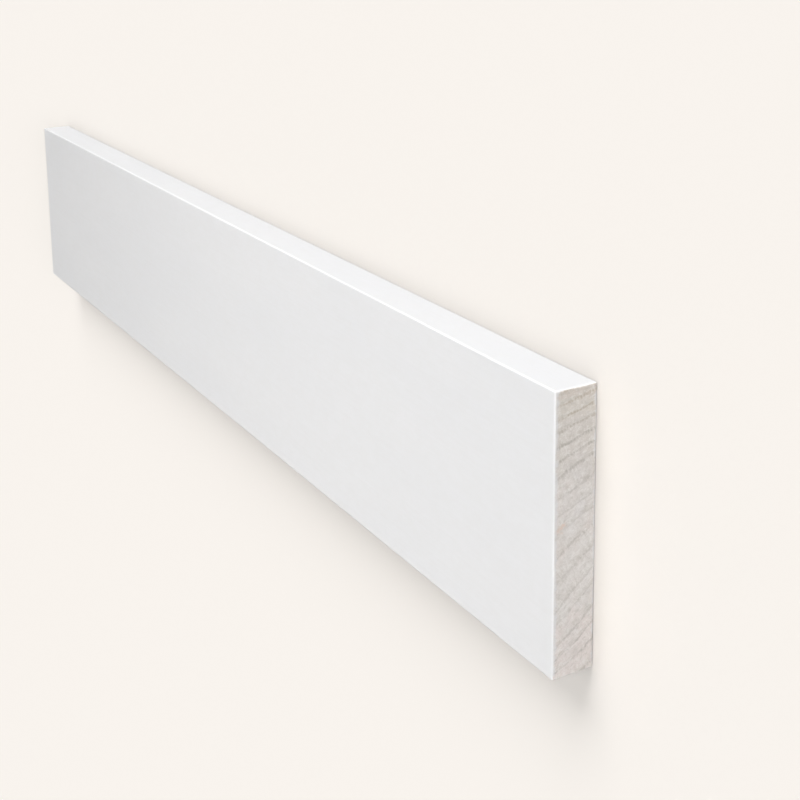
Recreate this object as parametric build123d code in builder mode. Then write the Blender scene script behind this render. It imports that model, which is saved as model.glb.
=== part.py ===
from build123d import *

import os

# Flat baseboard of solid softwood, sawn square to a short length. All sizes are in millimetres.
# The board lies on its back: X runs along it, Y runs across its width towards the top edge, and
# Z points out of its show face. The origin is the middle of the back face.

# Dressed stock section, and the length between the two saw cuts
LENGTH = 650.0
WIDTH = 114.0
THICKNESS = 19.0

# Every arris is eased, along the board and round its sawn ends
ARRIS_RADIUS = 0.8

# The section is drawn in the plane of one saw cut, with the back face as its lower side
SECTION_PLANE = Plane.YZ.offset(-LENGTH / 2)

with BuildPart() as baseboard:
    with BuildSketch(SECTION_PLANE):
        Rectangle(WIDTH, THICKNESS, align=(Align.CENTER, Align.MIN))
    extrude(amount=LENGTH)
    fillet(baseboard.edges(), radius=ARRIS_RADIUS)

baseboard.part.label = "baseboard"

os.makedirs("parts", exist_ok=True)
export_step(baseboard.part, "parts/baseboard.step")
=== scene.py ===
import math

import bpy
import numpy as np
from mathutils import Matrix, Vector


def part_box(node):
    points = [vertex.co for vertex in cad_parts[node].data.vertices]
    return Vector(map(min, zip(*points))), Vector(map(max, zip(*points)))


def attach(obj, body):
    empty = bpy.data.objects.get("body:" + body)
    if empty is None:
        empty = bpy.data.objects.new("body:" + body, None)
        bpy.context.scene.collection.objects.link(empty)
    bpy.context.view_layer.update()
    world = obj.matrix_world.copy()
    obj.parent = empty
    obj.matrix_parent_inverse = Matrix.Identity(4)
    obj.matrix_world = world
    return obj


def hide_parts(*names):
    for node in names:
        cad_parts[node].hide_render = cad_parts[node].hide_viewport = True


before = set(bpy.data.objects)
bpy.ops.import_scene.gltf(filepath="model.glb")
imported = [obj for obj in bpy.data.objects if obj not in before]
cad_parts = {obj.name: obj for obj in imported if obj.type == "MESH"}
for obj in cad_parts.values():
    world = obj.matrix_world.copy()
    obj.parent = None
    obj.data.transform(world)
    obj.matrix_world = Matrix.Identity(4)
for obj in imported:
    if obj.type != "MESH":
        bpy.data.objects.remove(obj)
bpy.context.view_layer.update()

# The board as packed: it lies on its back, X along it, Y towards its top edge, Z out of its face
MM = 0.001
LOW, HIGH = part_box("baseboard")
LENGTH = HIGH.x - LOW.x
WIDTH = HIGH.y - LOW.y
THICKNESS = HIGH.z - LOW.z

# Arrises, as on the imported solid. Hand sanding leaves the long ones a little uneven
LONG_ARRIS = 0.8 * MM
LONG_ARRIS_WANDER = 0.14 * MM
END_ARRIS = 0.8 * MM

# The mesh: cells across the thickness, across the width and in each half of an arris's rounding
THICKNESS_CELLS = 42
WIDTH_CELLS = 232
ARC_CELLS = 3
# The long arrises keep at least this radius where the end arris turns in
SMALLEST_RADIUS = 0.03 * MM
# Strips round each end arris. Those next to the saw cut belong to the sawn end, not to the paint
END_STRIPS = 5
SAWN_STRIPS = 2
# How far apart the outlines along the board are, growing from its ends to its middle
FIRST_GAP = 1.0 * MM
LARGEST_GAP = 9.0 * MM
GAP_GROWTH = 1.6

# The flat map for baking: the sides unrolled below, the two sawn ends above, a gap between all three.
# The narrow arrises get a wider strip of it than their size alone would give
MAP_NAME = "OFBake"
MAP_GAP = 0.01
MAP_SIDES_TOP = 0.60
MAP_END_HEIGHT = 0.18
LONG_ARRIS_ROOM = 4.0
END_ARRIS_ROOM = 8.0

# Growth rings, as they run across the sawn ends. DEPTH is measured down from the top edge in mm,
# at the middle of the thickness: each entry is where one dark band of latewood stands
LATEWOOD_DEPTHS = (4.6, 9.3, 14.1, 19.8, 25.1, 30.1, 39.1, 46.0, 51.5, 59.9, 69.6, 79.5, 86.0, 95.6,
                   101.5, 107.5, 114.7)
# How steeply a ring climbs towards the back, at a few depths
RING_SLOPE_DEPTHS = (0.0, 12.0, 25.0, 34.0, 48.0, 64.0, 84.0, 100.0, 114.0)
RING_SLOPES = (0.22, 0.24, 0.30, 0.48, 0.40, 0.66, 0.88, 0.68, 0.34)
# Rings above the first line and below the last one follow at these distances, in mm
SPACING_ABOVE = 5.0
SPACING_BELOW = 6.5
# The rings rise towards the top edge on their way to the far end, in mm for each mm, because a trunk
# tapers. They also sway on that way, in mm and in mm for each radian, and are a little ragged, in mm
TAPER_DRIFT = 0.011
RING_SWAY = 0.9
RING_SWAY_LENGTH = 97.0
RING_RAGGEDNESS = 0.35
# Half the width of a line of latewood, as a share of its ring
LATEWOOD_HALF_WIDTH = 0.14
LATEWOOD_ROUNDING = 0.7
# Along a dark line the saw breaks the latewood into beads, which follow each other at this rate, in
# radians for each mm
BEAD_RATE = 4.6
# How far a dark line bends to and fro, how far from its middle it begins to fade, and how far from
# its middle it is gone, near the top edge and lower down, all as shares of its ring
LINE_BEND = 0.30
LINE_CORE = 0.02
LINE_WIDE = 0.17
LINE_NARROW = 0.11

# Relief, in metres, always cut inwards so that the board keeps its packed size
EARLYWOOD_TEAR = 0.07 * MM
SAW_MARK = 0.025 * MM
FIBRE_LIFT = 0.03 * MM
GRAIN_SHOWS_THROUGH = 0.018 * MM
FACE_WAVE = 0.02 * MM
# The wave across the faces and the saw's marks, in radians for each mm
FACE_WAVE_RATE = 0.11
SAW_MARK_RATE = 2.4
# How far from the board's sides the relief of a sawn end sets in, and over how long a way, in mm
RELIEF_STARTS = 0.5
RELIEF_GROWS = 1.6
# Where the saw blade turned: in front of the face, and below the top edge at the low and high end, in mm
BLADE_IN_FRONT = 60.0
BLADE_BELOW_TOP = (150.0, 110.0)

# Colours of the sawn end, whose wood shows through a thin coat of white
WASH_GREY = (0.757, 0.714, 0.677, 1.0)
WASH_PINK = (0.785, 0.715, 0.677, 1.0)
WASH_COOL = (0.745, 0.708, 0.683, 1.0)
WASH_UPPER = (0.706, 0.657, 0.606, 1.0)
WASH_STRAW = (0.72, 0.67, 0.59, 1.0)
WASH_TAN = (0.69, 0.615, 0.55, 1.0)
LIGHT_FLECK = (0.87, 0.84, 0.805, 1.0)
LATEWOOD_TINT = (0.58, 0.54, 0.485, 1.0)
LATEWOOD_DARK = (0.42, 0.38, 0.33, 1.0)
LATEWOOD_TAN = (0.46, 0.375, 0.27, 1.0)
RESIN_PEACH = (0.75, 0.555, 0.445, 1.0)
PAINT_SMEAR = (0.80, 0.79, 0.785, 1.0)
# How far below the top edge the wash is at its pinkest, and how far from there the blush fades, in mm
BLUSH_DEPTH = 46.0
BLUSH_FADES = (6.0, 18.0)
# Depths below the top edge, in mm, between which each tint of the wash fades out
UPPER_FADES = (18.0, 48.0)
STRAW_FADES = (9.0, 13.0)
TAN_FADES = (3.2, 5.2)
# How much of a dark line's own colour shows
LINE_SHOWS = 0.62
# Depths between which the dark lines lose their beads, their tan, their width and their strength,
# and between which the lowest ones gain some strength again
BEADS_FADE = (24.0, 34.0)
LINE_TAN_FADES = (8.0, 20.0)
LINES_NARROW = (30.0, 50.0)
LINES_WEAKEN = (27.0, 40.0)
LINES_RETURN = (88.0, 102.0)
# How far paint was dragged over a sawn end from all its edges, from its front and from one corner, in mm
RIM_SMEAR = (0.2, 1.1)
FRONT_SMEAR = (0.6, 2.1)
CORNER_SMEAR = (2.0, 3.6)
# Near the top and the lower edge the rim has little or no such paint, which leaves a darker line along the
# lower edge as painted shade. It sets in here, in mm
BARE_RIM = (0.8, 2.5)
# How well that paint covers, and how ragged its edges and those of the wash are, in mm
SMEAR_COVERS = 0.75
CORNER_COVERS = 0.85
SMEAR_RAGGEDNESS = -4.5
CORNER_RAGGEDNESS = -3.0
WASH_RAGGEDNESS = 6.0

# A small stain of resin on the near end, placed from its front and its top edge, in mm
RESIN_FROM_FRONT = 3.4
RESIN_DEPTH = 53.5
RESIN_HALF_LENGTH = 2.6
RESIN_HALF_WIDTH = 1.5
RESIN_SLOPE = 0.42
# Its edge fades between these shares of its half sizes, and is made ragged by another share of them
RESIN_FADES = (-0.2, 1.5)
RESIN_RAGGEDNESS = 4.2
RESIN_COVERS = 0.70

# Colours of the paint, and the paler white on the arrises: partly a fuller coat of paint, mostly a painted
# highlight
WHITE_COOL = (0.792, 0.795, 0.806, 1.0)
WHITE_WARM = (0.808, 0.808, 0.815, 1.0)
WHITE_THIN = (0.775, 0.772, 0.768, 1.0)
WHITE_HIGHLIGHT = (0.825, 0.825, 0.833, 1.0)
# The painted highlight fades away from an arris, in mm, and stops above the lower edge, in mm below the top
# edge. Along the board it grows towards the high end, where the light is stronger, in m
HIGHLIGHT_FADES = (0.35, 0.85)
HIGHLIGHT_STOPS = (WIDTH / MM - 4.0, WIDTH / MM - 2.0)
HIGHLIGHT_GATHERS = (-0.30, 0.02)

# Roughness, index of refraction and relief too fine for the mesh, on the paint and the sawn ends
PAINT_ROUGHNESS = (0.36, 0.44)
PAINT_IOR = 1.48
PAINT_BUMP = 0.012 * MM
END_ROUGHNESS = 0.72
END_IOR = 1.45
END_BUMP = 0.06 * MM

# Noise in cycles along X, Y and Z: over the board's own place, for each metre
BROAD_TONE = (9.0, 22.0, 22.0)
STREAKS = (28.0, 900.0, 900.0)
STIPPLE = (1300.0, 1300.0, 1300.0)
MOTTLE = (150.0, 240.0, 240.0)
LINE_SWAY = (500.0, 420.0, 500.0)
LINE_PATCHES = (120.0, 70.0, 110.0)
WASH_TINTS = (60.0, 42.0, 60.0)
WASH_EDGE = (260.0, 260.0, 260.0)
SMEAR_EDGE = (330.0, 330.0, 330.0)
RESIN_EDGE = (480.0, 480.0, 480.0)
SPECKS = (900.0, 900.0, 900.0)
# And over its place in the wood: for each ring, for each mm along a ring and for each mm of length
LINE_DASHES = (1.9, 0.8, 0.1)
FIBRES = (4.6, 0.32, 0.1)
RAYS = (1.6, 2.0, 0.1)

# The camera holds the photograph's angle to the board
IMAGE_SIDE = 800
SENSOR = 36.0
FOCAL_PIXELS = 1385.2
SHIFT_DOWN = -0.3
CAMERA_AT = Vector((0.70413, 0.23561, 0.29885))
CAMERA_AIM = Vector((-0.85081, -0.19621, -0.48746))
CAMERA_UP = Vector((-0.16417, 0.98049, -0.10811))
CAMERA_SEES_FROM = 0.01
CAMERA_SEES_TO = 100.0

# The paper as the camera sees it, and the plainer white that it throws back onto the board
PAPER = (0.945, 0.902, 0.853, 1.0)
PAPER_BOUNCE = (0.74, 0.74, 0.75, 1.0)
FLOOR_SIDE = 40.0

# Light, as shares of the level at which a colour renders as it is written
SKY = 0.465
KEY_LIGHT_FROM = Vector((0.0, 0.88, 0.47))
KEY_LIGHT_LEVEL = 0.60
KEY_LIGHT_ANGLE = 40
EDGE_LIGHT_FROM = Vector((0.0, 0.986, 0.165))
EDGE_LIGHT_LEVEL = 0.295
EDGE_LIGHT_ANGLE = 18
SIDE_LIGHT_FROM = Vector((0.50, 0.06, 0.107))
SIDE_LIGHT_LEVEL = 0.457
SIDE_LIGHT_ANGLE = 22
FILL_LIGHT_FROM = Vector((-0.60, -0.72, 0.05))
FILL_LIGHT_LEVEL = 0.18
FILL_LIGHT_ANGLE = 30
PAPER_LIGHT_LEVEL = 0.25
PAPER_LIGHT_ANGLE = 60

# A soft box over the near half of the board, so that the face falls off towards its far end
BOX_AT = Vector((0.20, 0.12, 0.50))
BOX_AIM = Vector((0.30, 0.0, 0.0))
BOX_LONG = 0.70
BOX_WIDE = 0.40
BOX_RADIANCE = 0.82

# A dark card beyond the far end, which only the paint's sheen picks up
CARD_AT = -2.0
CARD_TOP = 0.65
CARD_HALF_WIDTH = 2.5
CARD_GREY = (0.06, 0.055, 0.05, 1.0)


def wander(x, seed):
    """A smooth value between about -1 and 1 along x in metres, the same on every run."""
    waves = ((11.3, 0.5), (23.7, 0.3), (47.1, 0.2))
    return sum(size * np.sin(rate * x + seed * (1.7 + rate)) for rate, size in waves)


def grain(a, b, seed):
    """A rough value between about -1 and 1 over two coordinates in mm, the same on every run.

    It adds up seven bent waves, each finer than the last and turned by the golden angle.
    """
    golden_angle = 2.399
    total = np.zeros(np.broadcast(a, b).shape)
    for k in range(7):
        turn = golden_angle * (k + seed)
        rate = 0.9 * 1.37 ** k
        u = a * math.cos(turn) + b * math.sin(turn)
        v = b * math.cos(turn) - a * math.sin(turn)
        total += np.sin(rate * u + 1.9 * np.sin(0.61 * rate * v + k + seed)) / 4.2
    return total


def ring_phase(x, y, z):
    """How many growth rings lie above a point, so that each whole number is a dark latewood line."""
    depth = (HIGH.y - y) / MM
    from_front = (HIGH.z - z) / MM
    middle = 0.5 * THICKNESS / MM
    from_near_end = (HIGH.x - x) / MM
    slope = np.interp(depth, RING_SLOPE_DEPTHS, RING_SLOPES)
    depth = depth + slope * (from_front - middle)
    depth = depth + TAPER_DRIFT * from_near_end + RING_SWAY * np.sin(from_near_end / RING_SWAY_LENGTH)
    depth = depth + RING_RAGGEDNESS * grain(0.3 * depth, 0.35 * from_front, 3)
    first, last = LATEWOOD_DEPTHS[0], LATEWOOD_DEPTHS[-1]
    steps = np.arange(1, len(LATEWOOD_DEPTHS) + 1)
    inside = np.interp(depth, LATEWOOD_DEPTHS, steps)
    above = 1 + (depth - first) / SPACING_ABOVE
    below = len(LATEWOOD_DEPTHS) + (depth - last) / SPACING_BELOW
    return np.where(depth < first, above, np.where(depth > last, below, inside))


def along_ring(y, z):
    """How far along its own growth ring a point lies, in mm from the front."""
    depth = (HIGH.y - y) / MM
    from_front = (HIGH.z - z) / MM
    lean = np.arctan(RING_SLOPES)
    climbs = 0.5 * (np.sin(lean[1:]) + np.sin(lean[:-1])) * np.diff(RING_SLOPE_DEPTHS)
    climbed = np.concatenate([[0.0], np.cumsum(climbs)])
    lean_here = np.interp(depth, RING_SLOPE_DEPTHS, lean)
    return from_front * np.cos(lean_here) - np.interp(depth, RING_SLOPE_DEPTHS, climbed)


def latewood(phase):
    """1 on a dark latewood line, 0 in the pale earlywood between two of them."""
    off = np.abs(phase - np.round(phase))
    return np.clip(1.0 - off / LATEWOOD_HALF_WIDTH, 0.0, 1.0) ** LATEWOOD_ROUNDING


def side_points(cells, span, first_radius, last_radius):
    """One side of the section: how far along it each point lies, and how far the arris draws it in.

    It takes in half of the quarter circle at each of its two arrises.
    """
    turn = math.pi / 4 * (1 - np.arange(ARC_CELLS + 1) / ARC_CELLS)
    along_arc = 1 - np.sin(turn)
    off_arc = 1 - np.cos(turn)
    flat = np.linspace(first_radius, span - last_radius, cells - 2 * ARC_CELLS + 1)[1:-1]
    along = np.concatenate([first_radius * along_arc, flat, span - last_radius * along_arc[::-1]])
    off = np.concatenate([first_radius * off_arc, np.zeros(len(flat)), last_radius * off_arc[::-1]])
    return along, off


def long_arris_radii(x):
    """The four long arrises' radii at one place along the board, back bottom first."""
    return [LONG_ARRIS + LONG_ARRIS_WANDER * wander(x, seed) for seed in (1, 2, 3, 4)]


def face_relief(x, along, y, z):
    """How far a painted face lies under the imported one: latewood lines stand proud of the rest."""
    lines = latewood(ring_phase(x, y, z))
    wave = 0.5 + 0.5 * np.sin(along / MM * FACE_WAVE_RATE + 2.0 * np.sin(x * 9.0))
    return GRAIN_SHOWS_THROUGH * (1 - lines) + FACE_WAVE * wave


def section(x, inset):
    """The outline of the board at x, drawn in by inset where the end arris turns, as (y, z) pairs."""
    radii = [max(radius - inset, SMALLEST_RADIUS) for radius in long_arris_radii(x)]
    wide = WIDTH - 2 * inset
    thick = THICKNESS - 2 * inset
    low_y, low_z = LOW.y + inset, LOW.z + inset
    high_y, high_z = HIGH.y - inset, HIGH.z - inset
    fade = max(0.0, 1.0 - inset / END_ARRIS)
    points = []

    along, off = side_points(THICKNESS_CELLS, thick, radii[0], radii[1])
    points.append(np.stack([low_y + off, low_z + along], 1)[:-1])

    along, off = side_points(WIDTH_CELLS, wide, radii[1], radii[2])
    y = low_y + along
    sink = fade * face_relief(x, along, y, np.full_like(y, high_z)) * (off == 0)
    points.append(np.stack([y, high_z - off - sink], 1)[:-1])

    along, off = side_points(THICKNESS_CELLS, thick, radii[2], radii[3])
    z = high_z - along
    sink = fade * face_relief(x, along, np.full_like(z, high_y), z) * (off == 0)
    points.append(np.stack([high_y - off - sink, z], 1)[:-1])

    along, off = side_points(WIDTH_CELLS, wide, radii[3], radii[0])
    points.append(np.stack([high_y - along, low_z + off], 1)[:-1])
    return np.concatenate(points)


def outline_places():
    """Where the outlines stand along the board, as (x, inset), from the low end to the high one."""
    turn = np.linspace(0, math.pi / 2, END_STRIPS + 1)
    rounding = [(END_ARRIS * (1 - math.sin(a)), END_ARRIS * (1 - math.cos(a))) for a in turn]
    rounding.reverse()
    from_end = END_ARRIS
    gap = FIRST_GAP
    places = []
    while from_end + gap < LENGTH / 2:
        from_end += gap
        gap = min(gap * GAP_GROWTH, LARGEST_GAP)
        places.append((from_end, 0.0))
    half = rounding + places
    low = [(LOW.x + d, inset) for d, inset in half]
    high = [(HIGH.x - d, inset) for d, inset in reversed(half)]
    return low + high


def end_relief(x, y, z, seed):
    """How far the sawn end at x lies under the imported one. The low end's seed is 0, the high one's is 1."""
    depth = (HIGH.y - y) / MM
    from_front = (HIGH.z - z) / MM
    lines = latewood(ring_phase(np.full_like(y, x), y, z))
    torn = EARLYWOOD_TEAR * (1 - lines) * (0.75 + 0.25 * grain(depth, from_front, seed + 5))
    from_blade = np.hypot(from_front + BLADE_IN_FRONT, depth - BLADE_BELOW_TOP[seed])
    marks = np.sin(from_blade * SAW_MARK_RATE + 0.8 * np.sin(from_blade * 0.9))
    saw = SAW_MARK * (0.5 + 0.5 * marks)
    fibre = FIBRE_LIFT * (0.5 + 0.5 * grain(3.1 * depth, 2.7 * from_front, seed + 11))
    to_edge = np.minimum(WIDTH / 2 - np.abs(y), THICKNESS / 2 - np.abs(z - THICKNESS / 2)) / MM
    fade = np.clip((to_edge - RELIEF_STARTS) / RELIEF_GROWS, 0, 1)
    return fade * (torn + saw + fibre)


def outline_grid_index(i, j):
    """The outline point that is also grid point (i across the thickness, j across the width)."""
    if j == 0:
        return i
    if i == THICKNESS_CELLS:
        return THICKNESS_CELLS + j
    if j == WIDTH_CELLS:
        return 2 * THICKNESS_CELLS + WIDTH_CELLS - i
    count = 2 * (THICKNESS_CELLS + WIDTH_CELLS)
    return (count - j) % count


def end_cap(x, outward, first_vertex, vertex_count, seed):
    """The sawn end inside its last outline: new points and the faces that join them up.

    outward is 1 at the high end and -1 at the low one. The end's outline starts at first_vertex, and
    vertex_count is how many points there are before the new ones.
    """
    inset = END_ARRIS
    radius = max(LONG_ARRIS - inset, SMALLEST_RADIUS)
    across_z, _ = side_points(THICKNESS_CELLS, THICKNESS - 2 * inset, radius, radius)
    across_y, _ = side_points(WIDTH_CELLS, WIDTH - 2 * inset, radius, radius)
    z = LOW.z + inset + across_z[1:-1]
    y = LOW.y + inset + across_y[1:-1]
    zz, yy = np.meshgrid(z, y, indexing="ij")
    xx = x - outward * end_relief(x, yy, zz, seed)
    points = np.stack([xx, yy, zz], -1).reshape(-1, 3)

    index = np.empty((THICKNESS_CELLS + 1, WIDTH_CELLS + 1), int)
    inner = np.arange(len(points)).reshape(zz.shape)
    index[1:-1, 1:-1] = vertex_count + inner
    for i in range(THICKNESS_CELLS + 1):
        for j in (0, WIDTH_CELLS):
            index[i, j] = first_vertex + outline_grid_index(i, j)
    for j in range(WIDTH_CELLS + 1):
        for i in (0, THICKNESS_CELLS):
            index[i, j] = first_vertex + outline_grid_index(i, j)
    quads = np.stack([index[:-1, :-1], index[:-1, 1:], index[1:, 1:], index[1:, :-1]], -1)
    quads = quads.reshape(-1, 4)
    if outward < 0:
        quads = quads[:, ::-1]
    return points, quads


def spread(steps, low, high):
    """Where the two ends of each step fall, with all steps laid end to end from low to high."""
    reach = np.concatenate([[0.0], np.cumsum(steps)])
    return low + (high - low) * reach / reach[-1]


def side_steps(cells, span):
    """The map room for each cell across one side of the section, with more for its arrises."""
    along, off = side_points(cells, span, LONG_ARRIS, LONG_ARRIS)
    steps = np.hypot(np.diff(along), np.diff(off))
    steps[:ARC_CELLS] *= LONG_ARRIS_ROOM
    steps[-ARC_CELLS:] *= LONG_ARRIS_ROOM
    return steps


def sides_map(places):
    """Map places for the corners of every side face, with the sides unrolled into one strip."""
    x, inset = np.array(places).T
    along_steps = np.hypot(np.diff(x), np.diff(inset))
    along_steps[:END_STRIPS] *= END_ARRIS_ROOM
    along_steps[-END_STRIPS:] *= END_ARRIS_ROOM
    u = spread(along_steps, MAP_GAP, 1 - MAP_GAP)
    round_steps = [side_steps(THICKNESS_CELLS, THICKNESS), side_steps(WIDTH_CELLS, WIDTH)] * 2
    v = spread(np.concatenate(round_steps), MAP_GAP, MAP_SIDES_TOP)
    across, up = np.meshgrid(u, v, indexing="ij")
    grid = np.stack([across, up], -1)
    corners = (grid[:-1, :-1], grid[1:, :-1], grid[1:, 1:], grid[:-1, 1:])
    return np.stack(corners, 2).reshape(-1, 4, 2)


def end_map(points, bottom):
    """Map places for points on a sawn end, whose strip of the map starts at bottom."""
    u = MAP_GAP + (1 - 2 * MAP_GAP) * (points[..., 1] - LOW.y) / WIDTH
    v = bottom + MAP_END_HEIGHT * (points[..., 2] - LOW.z) / THICKNESS
    return np.stack([u, v], -1)


def side_faces(outline_count, count):
    """The faces between neighbouring outlines of count points each."""
    point = np.arange(count)
    after = (point + 1) % count
    faces = []
    for k in range(outline_count - 1):
        here, there = k * count, (k + 1) * count
        faces.append(np.stack([here + point, there + point, there + after, here + after], 1))
    return np.concatenate(faces)


def store_flat_map(mesh, places, low_corners, high_corners):
    """Keeps the flat map on the mesh: its side faces, then the faces of its low and its high end."""
    low_end = end_map(low_corners, MAP_SIDES_TOP + MAP_GAP)
    high_end = end_map(high_corners, MAP_SIDES_TOP + MAP_END_HEIGHT + 2 * MAP_GAP)
    flat_map = mesh.uv_layers.new(name=MAP_NAME)
    flat_map.data.foreach_set("uv", np.concatenate([sides_map(places), low_end, high_end]).ravel())


def store_grain_place(mesh, vertices):
    """Keeps each point's place in the wood on the mesh: rings, mm along its ring, mm along the board."""
    x, y, z = vertices.T
    grain_place = np.stack([ring_phase(x, y, z), along_ring(y, z), x / MM], 1)
    stored = mesh.attributes.new("grain_place", "FLOAT_VECTOR", "POINT")
    stored.data.foreach_set("vector", grain_place.astype(np.float32).ravel())


def board_mesh():
    """The whole board as one closed mesh, with its paint as material 0 and its sawn ends as 1.

    The paint stops part of the way round each end arris, where the saw cut begins.
    """
    places = outline_places()
    outlines = []
    for x, inset in places:
        outline = section(x, inset)
        outlines.append(np.column_stack([np.full(len(outline), x), outline]))
    count = len(outlines[0])
    vertices = np.concatenate(outlines)
    sides = side_faces(len(places), count)

    low_points, low_quads = end_cap(LOW.x, -1, 0, len(vertices), 0)
    vertices = np.concatenate([vertices, low_points])
    last_outline = (len(places) - 1) * count
    high_points, high_quads = end_cap(HIGH.x, 1, last_outline, len(vertices), 1)
    vertices = np.concatenate([vertices, high_points])
    faces = np.concatenate([sides, low_quads, high_quads])

    mesh = bpy.data.meshes.new("painted_board")
    mesh.from_pydata(vertices.tolist(), [], faces.tolist())
    slots = np.zeros(len(faces), np.int32)
    slots[:SAWN_STRIPS * count] = 1
    slots[len(sides) - SAWN_STRIPS * count:] = 1
    mesh.polygons.foreach_set("material_index", slots)
    mesh.polygons.foreach_set("use_smooth", np.ones(len(faces), bool))
    store_flat_map(mesh, places, vertices[low_quads], vertices[high_quads])
    store_grain_place(mesh, vertices)
    mesh.update()
    mesh.validate()
    return mesh


class Nodes:
    """Short names for building a material's nodes."""

    def __init__(self, name, kind=bpy.data.materials):
        self.owner = kind.new(name)
        self.owner.use_nodes = True
        self.tree = self.owner.node_tree
        self.tree.nodes.clear()

    def add(self, kind, **settings):
        node = self.tree.nodes.new(kind)
        for key, value in settings.items():
            setattr(node, key, value)
        return node

    def set(self, socket, value):
        """Feeds a socket from another one, or gives it a value of its own."""
        if isinstance(value, bpy.types.NodeSocket):
            self.tree.links.new(value, socket)
        else:
            socket.default_value = value

    def math(self, operation, *values):
        node = self.add("ShaderNodeMath", operation=operation)
        for socket, value in zip(node.inputs, values):
            self.set(socket, value)
        return node.outputs[0]

    def smooth(self, value, low, high, to_low=0.0, to_high=1.0):
        """A soft step: to_low where value is at low, to_high where it is at high."""
        node = self.add("ShaderNodeMapRange", interpolation_type="SMOOTHSTEP")
        for name, entry in (("Value", value), ("From Min", low), ("From Max", high),
                            ("To Min", to_low), ("To Max", to_high)):
            self.set(node.inputs[name], entry)
        return node.outputs["Result"]

    def mix(self, factor, first, second):
        """A colour between two: the first where factor is 0, the second where it is 1."""
        node = self.add("ShaderNodeMix", data_type="RGBA")
        self.set(node.inputs["Factor"], factor)
        self.set(node.inputs["A"], first)
        self.set(node.inputs["B"], second)
        return node.outputs["Result"]

    def ragged(self, value, noise, reach):
        """A value that a noise around 0.5 shifts to both sides, by up to half of reach."""
        return self.math("MULTIPLY_ADD", self.math("SUBTRACT", noise, 0.5), reach, value)

    def surface(self, kind):
        """The material's shader, already joined to its output."""
        shader = self.add(kind)
        output = self.add("ShaderNodeOutputMaterial")
        self.tree.links.new(shader.outputs[0], output.inputs["Surface"])
        return shader

    def relief(self, shader, height, distance):
        """Gives a shader relief too fine for the mesh, with distance as the depth of a height of 1."""
        bump = self.add("ShaderNodeBump")
        bump.inputs["Strength"].default_value = 1.0
        bump.inputs["Distance"].default_value = distance
        self.set(bump.inputs["Height"], height)
        self.set(shader.inputs["Normal"], bump.outputs["Normal"])

    def object_place(self):
        """The point's own place in the board's frame, in metres."""
        return self.add("ShaderNodeTexCoord").outputs["Object"]

    def grain_place(self):
        """The point's place in the wood: rings, mm along its ring and mm along the board."""
        return self.add("ShaderNodeAttribute", attribute_name="grain_place").outputs["Vector"]

    def noise(self, place, scale, detail=2.0, rough=0.5):
        """A soft noise around 0.5, with scale as its cycles in one unit of place, along X, Y and Z."""
        mapping = self.add("ShaderNodeMapping")
        self.set(mapping.inputs["Vector"], place)
        mapping.inputs["Scale"].default_value = scale
        node = self.add("ShaderNodeTexNoise")
        self.set(node.inputs["Vector"], mapping.outputs["Vector"])
        node.inputs["Scale"].default_value = 1.0
        node.inputs["Detail"].default_value = detail
        node.inputs["Roughness"].default_value = rough
        return node.outputs["Fac"]

    def axes(self, place):
        """The three coordinates of a place."""
        node = self.add("ShaderNodeSeparateXYZ")
        self.set(node.inputs[0], place)
        return node.outputs

    def rings(self):
        """The growth rings' phase, as stored on the mesh: a whole number on each dark line."""
        return self.axes(self.grain_place())[0]

    def millimetres(self, value, start=0.0):
        """How far a coordinate in metres lies from start, in mm and without its sign."""
        off = self.math("ABSOLUTE", self.math("SUBTRACT", value, start))
        return self.math("MULTIPLY", off, 1 / MM)

    def below_top(self, here):
        """How far below the top edge a place is, in mm."""
        return self.millimetres(self.axes(here)[1], HIGH.y)

    def to_arris(self, here):
        """How far a place on the board's surface is from its nearest arris, in mm.

        Its distances to the three pairs of sides are put in order. The smallest is 0, because the
        place is on one of them, and the middle one is the way to the nearest arris.
        """
        x, y, z = self.axes(here)
        to_end = self.math("SUBTRACT", LENGTH / 2 / MM, self.millimetres(x))
        to_edge = self.math("SUBTRACT", WIDTH / 2 / MM, self.millimetres(y))
        to_face = self.math("SUBTRACT", THICKNESS / 2 / MM, self.millimetres(z, THICKNESS / 2))
        smaller = self.math("MINIMUM", to_end, to_edge)
        larger = self.math("MAXIMUM", to_end, to_edge)
        return self.math("MAXIMUM", smaller, self.math("MINIMUM", larger, to_face))


def background_rays(n):
    """1 for a ray that shows the paper as a background: one from the camera, a sheen or a glass."""
    path = n.add("ShaderNodeLightPath")
    direct = n.math("MAXIMUM", path.outputs["Is Camera Ray"], path.outputs["Is Glossy Ray"])
    return n.math("MAXIMUM", direct, path.outputs["Is Transmission Ray"])


def painted_arris_highlight(n, here):
    """How much painted highlight the paint gets: most on the upper arrises and towards the high end, where
    the light is stronger.
    """
    coat = n.smooth(n.to_arris(here), *HIGHLIGHT_FADES, 1.0, 0.0)
    coat = n.math("MULTIPLY", coat, n.smooth(n.below_top(here), *HIGHLIGHT_STOPS, 1.0, 0.0))
    return n.math("MULTIPLY", coat, n.smooth(n.axes(here)[0], *HIGHLIGHT_GATHERS))


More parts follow.
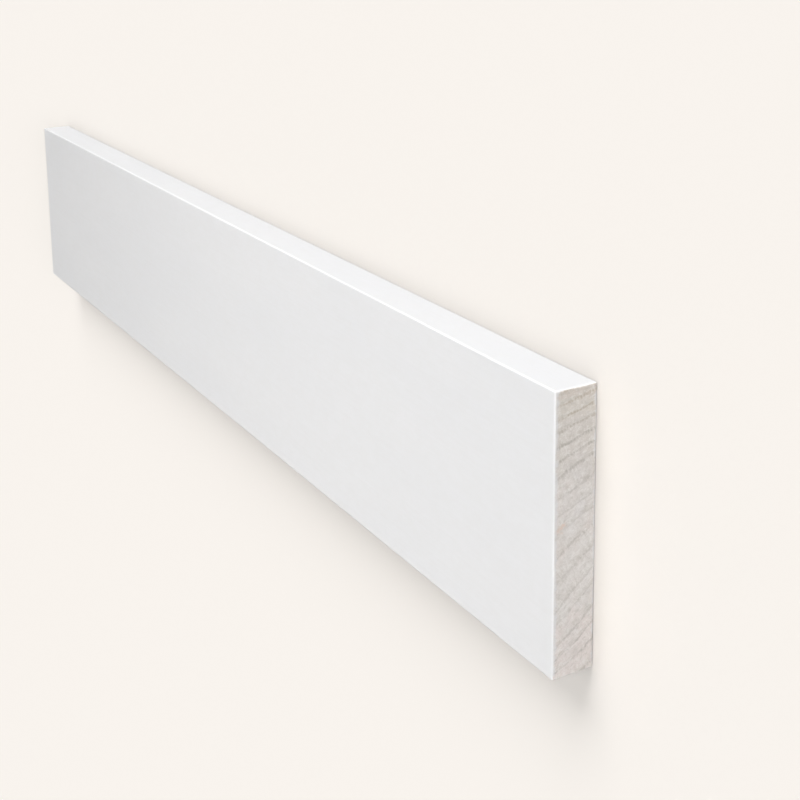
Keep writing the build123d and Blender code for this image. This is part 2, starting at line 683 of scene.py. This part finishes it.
def painted(slot_name):
    """Satin white paint over planed softwood: roller stipple, and the grain just showing through."""
    n = Nodes(slot_name)
    shader = n.surface("ShaderNodeBsdfPrincipled")
    here = n.object_place()
    broad = n.noise(here, BROAD_TONE, 3.0)
    streaks = n.noise(here, STREAKS, 3.0, 0.6)
    stipple = n.noise(here, STIPPLE, 2.0)
    mottle = n.noise(here, MOTTLE, 4.0, 0.65)

    white = n.mix(n.smooth(broad, 0.3, 0.7), WHITE_COOL, WHITE_WARM)
    white = n.mix(n.smooth(streaks, 0.55, 0.8, 0.0, 0.35), white, WHITE_THIN)
    white = n.mix(n.smooth(mottle, 0.35, 0.65, 0.30, 0.0), white, WHITE_THIN)
    # A painted highlight: paler white along the upper and end arrises, stronger towards the high end
    white = n.mix(painted_arris_highlight(n, here), white, WHITE_HIGHLIGHT)
    n.set(shader.inputs["Base Color"], white)
    n.set(shader.inputs["Roughness"], n.smooth(streaks, 0.3, 0.7, *PAINT_ROUGHNESS))
    shader.inputs["IOR"].default_value = PAINT_IOR

    rings = n.rings()
    distance = n.math("ABSOLUTE", n.math("SUBTRACT", rings, n.math("ROUND", rings)))
    line = n.smooth(distance, 0.0, 0.16, 1.0, 0.0)
    height = n.math("MULTIPLY", line, 0.35)
    height = n.math("MULTIPLY_ADD", streaks, 0.5, height)
    height = n.math("MULTIPLY_ADD", stipple, 0.55, height)
    n.relief(shader, height, PAINT_BUMP)
    return n.owner


def latewood_marks(n, here, wood_here):
    """The broken dark line of each ring, and the faint band of latewood that leads up to it."""
    depth = n.below_top(here)
    dashes = n.noise(wood_here, LINE_DASHES, 3.0, 0.65)
    patchy = n.noise(here, LINE_PATCHES, 2.0)
    beads = n.math("MULTIPLY", n.axes(wood_here)[1], BEAD_RATE)
    beads = n.math("SINE", n.math("MULTIPLY_ADD", patchy, 6.0, beads))
    beads = n.math("MULTIPLY", beads, n.smooth(depth, *BEADS_FADE, 0.10, 0.02))
    broken = n.smooth(n.math("ADD", dashes, beads), 0.38, 0.55, 0.18, 1.0)
    uneven = n.smooth(patchy, 0.35, 0.62, 0.45, 1.0)

    bent = n.ragged(n.rings(), n.noise(here, LINE_SWAY, 2.0, 0.6), LINE_BEND)
    distance = n.math("ABSOLUTE", n.math("SUBTRACT", bent, n.math("ROUND", bent)))
    half_width = n.smooth(depth, *LINES_NARROW, LINE_WIDE, LINE_NARROW)
    line = n.smooth(distance, LINE_CORE, half_width, 1.0, 0.0)
    strong = n.smooth(depth, *LINES_WEAKEN, 1.0, 0.58)
    strong = n.math("ADD", strong, n.smooth(depth, *LINES_RETURN, 0.0, 0.25))
    line = n.math("MULTIPLY", line, strong)
    line = n.math("MULTIPLY", n.math("MULTIPLY", line, broken), uneven)
    band = n.smooth(n.math("FRACT", bent), 0.45, 0.95)
    return line, band


def end_wash(n, here):
    """The thin white over the sawn end: darker and warmer near the top edge, with faint tints."""
    depth = n.ragged(n.below_top(here), n.noise(here, WASH_EDGE, 2.0), WASH_RAGGEDNESS)
    from_blush = n.math("ABSOLUTE", n.math("SUBTRACT", depth, BLUSH_DEPTH))
    tints = n.math("ADD", n.noise(here, WASH_TINTS, 2.0), n.smooth(from_blush, *BLUSH_FADES, 0.09, -0.01))
    wash = n.mix(n.smooth(tints, 0.46, 0.60), WASH_GREY, WASH_PINK)
    wash = n.mix(n.smooth(tints, 0.44, 0.34), wash, WASH_COOL)
    wash = n.mix(n.smooth(depth, *UPPER_FADES, 1.0, 0.0), wash, WASH_UPPER)
    wash = n.mix(n.smooth(depth, *STRAW_FADES, 0.55, 0.0), wash, WASH_STRAW)
    return n.mix(n.smooth(depth, *TAN_FADES, 0.75, 0.0), wash, WASH_TAN)


def edge_smear(n, here):
    """How much of the faces' paint was dragged over the end: most along its front and at its top corner."""
    uneven = n.noise(here, SMEAR_EDGE, 3.0, 0.6)
    from_front = n.millimetres(n.axes(here)[2], HIGH.z)
    from_top = n.below_top(here)
    rim = n.ragged(n.to_arris(here), uneven, SMEAR_RAGGEDNESS)
    rim = n.smooth(rim, *RIM_SMEAR, SMEAR_COVERS, 0.0)
    front = n.ragged(from_front, uneven, SMEAR_RAGGEDNESS)
    front = n.smooth(front, *FRONT_SMEAR, SMEAR_COVERS, 0.0)
    rim = n.math("MAXIMUM", rim, front)
    rim = n.math("MULTIPLY", rim, n.smooth(from_top, *BARE_RIM, 0.2, 1.0))
    # Painted shade: the rim is left bare along the lower edge, so that it reads darker there
    from_low_edge = n.math("SUBTRACT", WIDTH / MM, from_top)
    rim = n.math("MULTIPLY", rim, n.smooth(from_low_edge, *BARE_RIM, 0.0, 1.0))
    squares = n.math("ADD", n.math("POWER", from_front, 2.0), n.math("POWER", from_top, 2.0))
    corner = n.ragged(n.math("SQRT", squares), uneven, CORNER_RAGGEDNESS)
    corner = n.smooth(corner, *CORNER_SMEAR, CORNER_COVERS, 0.0)
    return n.math("MAXIMUM", rim, corner)


def resin_stain(n, here):
    """A small stain of resin in the near end alone, drawn out along its ring."""
    x, y, z = n.axes(here)
    inwards = n.math("SUBTRACT", n.millimetres(z, HIGH.z), RESIN_FROM_FRONT)
    down = n.math("SUBTRACT", n.millimetres(y, HIGH.y), RESIN_DEPTH)
    off_ring = n.math("MULTIPLY_ADD", inwards, RESIN_SLOPE, down)
    along = n.math("POWER", n.math("DIVIDE", inwards, RESIN_HALF_LENGTH), 2.0)
    across = n.math("POWER", n.math("DIVIDE", off_ring, RESIN_HALF_WIDTH), 2.0)
    out = n.math("SQRT", n.math("ADD", along, across))
    out = n.ragged(out, n.noise(here, RESIN_EDGE, 3.0, 0.65), RESIN_RAGGEDNESS)
    stain = n.smooth(out, *RESIN_FADES, RESIN_COVERS, 0.0)
    return n.math("MULTIPLY", stain, n.math("GREATER_THAN", x, 0.0))


def end_grain(slot_name):
    """The sawn end: softwood end grain under a thin, patchy coat of white, with smears at its edges."""
    n = Nodes(slot_name)
    shader = n.surface("ShaderNodeBsdfPrincipled")
    here = n.object_place()
    wood_here = n.grain_place()
    fibres = n.noise(wood_here, FIBRES, 4.0, 0.72)
    rays = n.noise(wood_here, RAYS, 3.0, 0.65)
    specks = n.noise(here, SPECKS, 3.0, 0.7)
    line, band = latewood_marks(n, here, wood_here)

    wood = end_wash(n, here)
    wood = n.mix(n.math("MULTIPLY", band, n.smooth(fibres, 0.3, 0.6, 0.5, 0.2)), wood, LATEWOOD_TINT)
    flecks = (
        (fibres, (0.51, 0.64, 0.0, 0.55), (0.48, 0.36, 0.0, 0.45)),
        (rays, (0.56, 0.70, 0.0, 0.40), (0.44, 0.30, 0.0, 0.40)),
        (specks, (0.54, 0.66, 0.0, 0.45), (0.45, 0.33, 0.0, 0.40)),
    )
    for noise, lighter, darker in flecks:
        wood = n.mix(n.smooth(noise, *lighter), wood, LIGHT_FLECK)
        wood = n.mix(n.smooth(noise, *darker), wood, LATEWOOD_TINT)
    dark = n.mix(n.smooth(n.below_top(here), *LINE_TAN_FADES, 1.0, 0.0), LATEWOOD_DARK, LATEWOOD_TAN)
    wood = n.mix(n.math("MULTIPLY", line, LINE_SHOWS), wood, dark)
    wood = n.mix(resin_stain(n, here), wood, RESIN_PEACH)
    wood = n.mix(edge_smear(n, here), wood, PAINT_SMEAR)
    n.set(shader.inputs["Base Color"], wood)
    shader.inputs["Roughness"].default_value = END_ROUGHNESS
    shader.inputs["IOR"].default_value = END_IOR

    height = n.math("MULTIPLY_ADD", fibres, 0.5, n.math("MULTIPLY", line, 0.5))
    height = n.math("MULTIPLY_ADD", rays, 0.4, height)
    height = n.math("MULTIPLY_ADD", specks, 0.3, height)
    n.relief(shader, height, END_BUMP)
    return n.owner


def make_board():
    """The dressed, painted board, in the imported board's own place."""
    board = bpy.data.objects.new("painted_board", board_mesh())
    bpy.context.scene.collection.objects.link(board)
    board.data.materials.append(painted("satin_white_paint"))
    board.data.materials.append(end_grain("whitewashed_end_grain"))
    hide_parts("baseboard")
    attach(board, "root")
    return board


def make_sheet(name, corners, material):
    """A flat sheet of the studio, between four corners."""
    mesh = bpy.data.meshes.new(name)
    mesh.from_pydata(corners, [], [(0, 1, 2, 3)])
    mesh.materials.append(material)
    sheet = bpy.data.objects.new(name, mesh)
    bpy.context.scene.collection.objects.link(sheet)
    return sheet


def make_floor():
    """A wide sheet of pale paper under the board."""
    n = Nodes("cream_paper")
    shader = n.surface("ShaderNodeBsdfDiffuse")
    n.set(shader.inputs["Color"], n.mix(background_rays(n), PAPER_BOUNCE, PAPER))
    half = FLOOR_SIDE / 2
    corners = [(-half, -half, 0), (half, -half, 0), (half, half, 0), (-half, half, 0)]
    return make_sheet("floor", corners, n.owner)


def make_card():
    """A dark upright card past the far end, which shows in the board's sheen and in nothing else."""
    n = Nodes("dark_card")
    shader = n.surface("ShaderNodeBsdfDiffuse")
    shader.inputs["Color"].default_value = CARD_GREY
    low, high = -CARD_HALF_WIDTH, CARD_HALF_WIDTH
    corners = [(CARD_AT, low, 0), (CARD_AT, high, 0), (CARD_AT, high, CARD_TOP), (CARD_AT, low, CARD_TOP)]
    card = make_sheet("dark_card", corners, n.owner)
    card.visible_camera = False
    card.visible_diffuse = False
    card.visible_shadow = False


def light_only(lamp, thing):
    """Keeps a lamp's light for one thing, as a snoot or a flag would."""
    group = bpy.data.collections.new("lit_by_" + lamp.name)
    group.objects.link(thing)
    lamp.light_linking.receiver_collection = group


def make_sun(name, towards, level, angle):
    """A far soft light, kept out of the sheen: level 1 lights what faces it at its own colour."""
    data = bpy.data.lights.new(name, "SUN")
    data.energy = math.pi * level
    data.angle = math.radians(angle)
    data.cycles.max_bounces = 0
    lamp = bpy.data.objects.new(name, data)
    lamp.rotation_mode = "QUATERNION"
    lamp.rotation_quaternion = towards.to_track_quat("Z", "Y")
    lamp.visible_glossy = False
    bpy.context.scene.collection.objects.link(lamp)
    return lamp


def make_soft_box():
    """A rectangular lamp close over the board's near half."""
    data = bpy.data.lights.new("soft_box", "AREA")
    data.shape = "RECTANGLE"
    data.size = BOX_LONG
    data.size_y = BOX_WIDE
    data.energy = math.pi * BOX_LONG * BOX_WIDE * BOX_RADIANCE
    data.cycles.max_bounces = 0
    lamp = bpy.data.objects.new("soft_box", data)
    lamp.location = BOX_AT
    lamp.rotation_mode = "QUATERNION"
    lamp.rotation_quaternion = (BOX_AT - BOX_AIM).to_track_quat("Z", "Y")
    bpy.context.scene.collection.objects.link(lamp)
    return lamp


def make_sky():
    """A pale even sky, which shows as paper where it is seen."""
    n = Nodes("studio", bpy.data.worlds)
    bpy.context.scene.world = n.owner
    sky = n.add("ShaderNodeBackground")
    sky.inputs["Strength"].default_value = SKY
    seen = n.add("ShaderNodeBackground")
    seen.inputs["Color"].default_value = PAPER
    pick = n.add("ShaderNodeMixShader")
    n.set(pick.inputs[0], background_rays(n))
    n.set(pick.inputs[1], sky.outputs[0])
    n.set(pick.inputs[2], seen.outputs[0])
    output = n.add("ShaderNodeOutputWorld")
    n.set(output.inputs["Surface"], pick.outputs[0])


def make_lamps(board, floor):
    """Two soft lights for all, over the top edge and beyond the near end, and others for one thing each."""
    make_sun("key_light", KEY_LIGHT_FROM, KEY_LIGHT_LEVEL, KEY_LIGHT_ANGLE)
    make_sun("side_light", SIDE_LIGHT_FROM, SIDE_LIGHT_LEVEL, SIDE_LIGHT_ANGLE)
    edge_light = make_sun("edge_light", EDGE_LIGHT_FROM, EDGE_LIGHT_LEVEL, EDGE_LIGHT_ANGLE)
    light_only(edge_light, board)
    fill_light = make_sun("fill_light", FILL_LIGHT_FROM, FILL_LIGHT_LEVEL, FILL_LIGHT_ANGLE)
    light_only(fill_light, board)
    paper_light = make_sun("paper_light", Vector((0, 0, 1)), PAPER_LIGHT_LEVEL, PAPER_LIGHT_ANGLE)
    light_only(paper_light, floor)
    light_only(make_soft_box(), board)


def make_camera():
    """The photograph's view of the board, with part of its framing done by lens shift."""
    data = bpy.data.cameras.new("camera")
    data.sensor_width = SENSOR
    data.lens = FOCAL_PIXELS / IMAGE_SIDE * SENSOR
    data.shift_y = SHIFT_DOWN
    data.clip_start = CAMERA_SEES_FROM
    data.clip_end = CAMERA_SEES_TO
    camera = bpy.data.objects.new("camera", data)
    bpy.context.scene.collection.objects.link(camera)
    back = -CAMERA_AIM.normalized()
    right = CAMERA_UP.cross(back).normalized()
    up = back.cross(right)
    turn = Matrix((right, up, back)).transposed().to_4x4()
    camera.matrix_world = Matrix.Translation(CAMERA_AT) @ turn
    bpy.context.scene.camera = camera


bpy.context.scene.view_settings.view_transform = "Standard"
painted_board = make_board()
paper_floor = make_floor()
make_card()
make_sky()
make_lamps(painted_board, paper_floor)
make_camera()
